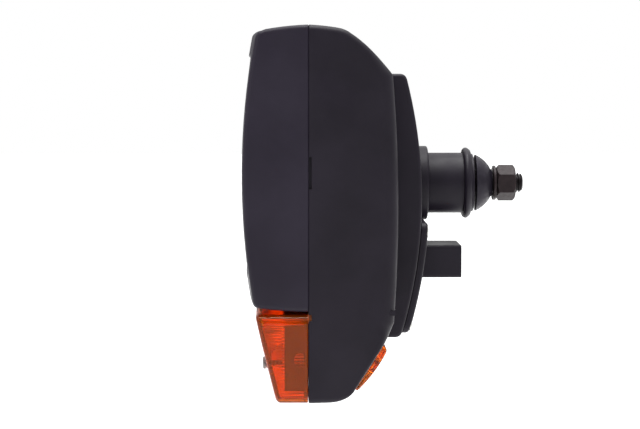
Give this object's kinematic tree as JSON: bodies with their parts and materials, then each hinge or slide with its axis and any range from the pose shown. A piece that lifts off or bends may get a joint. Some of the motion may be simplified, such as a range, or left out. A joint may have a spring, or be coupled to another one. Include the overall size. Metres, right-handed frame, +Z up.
{
  "type": "vehicle combination headlamp",
  "caption": "Black plastic vehicle headlamp with amber direction indicators front and rear, a rear connector block, and a swivelling threaded stud mount.",
  "frame": {"origin": "on the stud's axis, at the flange ring's rear face, where the vehicle's bracket sits", "axes": "+X along the stud towards the nut (rear of the lamp), +Z up, +Y across the lamp"},
  "size_m": [0.1696, 0.206, 0.2134],
  "materials": {
    "housing_plastic": "fine moulded grain, matt",
    "bezel_plastic": "fine moulded grain, satin",
    "rubber": "matt moulded rubber",
    "clear_glass": "clear polished glass",
    "amber_plastic": "clear amber acrylic, gloss",
    "reflector_mirror": "vacuum-metallised",
    "black_steel": "black phosphated steel",
    "zinc_steel": "zinc plated",
    "brass": "brass, stamped",
    "nylon": "natural nylon"
  },
  "bodies": {
    "stud_mount": {"ball_stud": "black_steel", "mount_sleeve": "housing_plastic", "flange_ring": "rubber", "domed_washer": "black_steel", "spring_washer": "black_steel", "hex_nut": "black_steel"},
    "rear_cup": {"rear_ball_cup": "nylon"},
    "front_cup": {"front_ball_cup": "nylon"},
    "lamp": {"rear_housing": "housing_plastic", "front_bezel": "bezel_plastic", "seam_seal": "rubber", "headlamp_lens": "clear_glass", "lens_seal": "rubber", "reflector_pivot_left": "nylon", "reflector_pivot_right": "nylon", "ball_retainer": "zinc_steel", "ball_retainer_screw_1": "zinc_steel", "ball_retainer_screw_2": "zinc_steel", "rear_cover": "housing_plastic", "rear_cover_seal": "rubber", "rear_cover_screw_1": "zinc_steel", "rear_cover_screw_2": "zinc_steel", "rear_cover_screw_3": "zinc_steel", "rear_cover_screw_4": "zinc_steel", "connector_housing": "housing_plastic", "connector_pin_1": "brass", "connector_pin_2": "brass", "connector_pin_3": "brass", "connector_pin_4": "brass", "connector_pin_5": "brass", "connector_pin_6": "brass", "front_indicator_lens": "amber_plastic", "front_indicator_seal": "rubber", "front_indicator_reflector": "reflector_mirror", "front_indicator_screw_1": "zinc_steel", "front_indicator_screw_2": "zinc_steel", "front_bulb_socket": "housing_plastic", "front_bulb_base": "brass", "front_bulb_glass": "amber_plastic", "rear_indicator_lens": "amber_plastic", "rear_indicator_seal": "rubber", "rear_indicator_reflector": "reflector_mirror", "rear_indicator_screw_1": "zinc_steel", "rear_indicator_screw_2": "zinc_steel", "rear_bulb_socket": "housing_plastic", "rear_bulb_base": "brass", "rear_bulb_glass": "amber_plastic", "headlamp_lead": "rubber", "front_indicator_lead": "rubber", "rear_indicator_lead": "rubber"},
    "reflector_unit": {"reflector": "reflector_mirror", "headlamp_bulb_base": "zinc_steel", "headlamp_bulb_glass": "clear_glass", "headlamp_bulb_clip": "zinc_steel", "bulb_boot": "rubber", "position_lamp_holder": "nylon", "position_lamp_bulb": "clear_glass"},
    "aim_screw": {"aim_screw": "zinc_steel"},
    "aim_nut": {"aim_nut": "nylon"}
  },
  "joints": [
    {"name": "stud_turn", "type": "hinge", "parent": "stud_mount", "child": "rear_cup", "pos_m": [-0.0453, 0, 0], "axis": [1, 0, 0], "range_deg": [-180, 180]},
    {"name": "lamp_pan", "type": "hinge", "parent": "rear_cup", "child": "front_cup", "pos_m": [-0.0453, 0, 0], "axis": [0, 0, 1], "range_deg": [-5, 5]},
    {"name": "lamp_tilt", "type": "hinge", "parent": "front_cup", "child": "lamp", "pos_m": [-0.0453, 0, 0], "axis": [0, 1, 0], "range_deg": [-5, 5]},
    {"name": "aim_screw_turn", "type": "hinge", "parent": "lamp", "child": "aim_screw", "pos_m": [-0.0713, 0.04, 0.052], "axis": [1, 0, 0], "range_deg": [-450, 450]},
    {"name": "aim_nut_travel", "type": "slide", "parent": "lamp", "child": "aim_nut", "axis": [1, 0, 0], "range_m": [-0.0016, 0.0016]},
    {"name": "reflector_tilt", "type": "hinge", "parent": "lamp", "child": "reflector_unit", "pos_m": [-0.0933, 0, 0.014], "axis": [0, 1, 0], "range_deg": [-2.35, 2.35]}
  ],
  "couplings": [
    {"joint": "aim_screw_turn", "follows": "reflector_tilt", "ratio": -191.01},
    {"joint": "aim_nut_travel", "follows": "reflector_tilt", "m_per_rad": 0.038}
  ]
}
